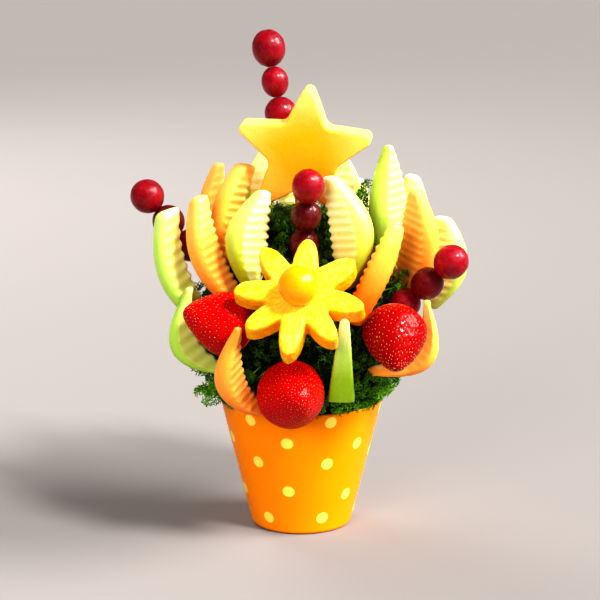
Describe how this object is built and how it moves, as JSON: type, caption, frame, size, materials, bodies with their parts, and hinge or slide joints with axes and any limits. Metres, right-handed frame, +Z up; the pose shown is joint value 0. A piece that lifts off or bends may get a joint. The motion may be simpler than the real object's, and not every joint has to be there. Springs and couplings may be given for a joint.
{
  "type": "fruit bouquet",
  "caption": "Edible bouquet of cut melon, pineapple, strawberries and grapes standing in curly parsley in a small tapered pot.",
  "frame": {"origin": "centre of the pot's flat underside", "axes": "+Z up; the bouquet's front, with the daisy, faces -Y"},
  "size_m": [0.2264, 0.2132, 0.3374],
  "materials": {
    "pot": "smooth glaze, orange and yellow with pale yellow polka dots",
    "parsley": "curly dark green leaves",
    "honeydew": "moist pale green flesh, greener towards the peel side",
    "cantaloupe": "moist orange flesh, deeper at the peel side",
    "grape": "dark red glossy skin with a faint bloom",
    "strawberry": "glossy red with small pale seeds in dimples",
    "yellow_melon": "smooth moist yellow flesh",
    "pineapple": "moist yellow flesh with fine fibres",
    "bamboo": "plain light bamboo"
  },
  "bodies": {
    "root": {"cantaloupe_back": "cantaloupe", "cantaloupe_back_left": "cantaloupe", "cantaloupe_back_right": "cantaloupe", "cantaloupe_centre_right": "cantaloupe", "cantaloupe_front_low": "cantaloupe", "cantaloupe_left": "cantaloupe", "cantaloupe_left_back": "cantaloupe", "cantaloupe_left_tall": "cantaloupe", "cantaloupe_right": "cantaloupe", "cantaloupe_right_low": "cantaloupe", "grapes_centre_1": "grape", "grapes_centre_2": "grape", "grapes_centre_3": "grape", "grapes_left_1": "grape", "grapes_left_2": "grape", "grapes_left_3": "grape", "grapes_right_1": "grape", "grapes_right_2": "grape", "grapes_right_3": "grape", "grapes_top_1": "grape", "grapes_top_2": "grape", "grapes_top_3": "grape", "honeydew_back_left": "honeydew", "honeydew_back_right": "honeydew", "honeydew_behind_centre": "honeydew", "honeydew_behind_left": "honeydew", "honeydew_behind_right": "honeydew", "honeydew_centre_left": "honeydew", "honeydew_centre_right": "honeydew", "honeydew_left_low": "honeydew", "honeydew_left_outer": "honeydew", "honeydew_right_back": "honeydew", "honeydew_right_outer": "honeydew", "honeydew_right_tall": "honeydew", "honeydew_spear": "honeydew", "melon_ball": "cantaloupe", "melon_star": "yellow_melon", "parsley": "parsley", "pineapple_daisy": "pineapple", "pot": "pot", "skewer_daisy": "bamboo", "skewer_grapes_centre": "bamboo", "skewer_grapes_left": "bamboo", "skewer_grapes_right": "bamboo", "skewer_grapes_top": "bamboo", "skewer_right_outer": "bamboo", "skewer_star": "bamboo", "skewer_strawberry_right": "bamboo", "strawberry_back_left": "strawberry", "strawberry_back_right": "strawberry", "strawberry_front": "strawberry", "strawberry_left": "strawberry", "strawberry_right": "strawberry"}
  },
  "joints": []
}
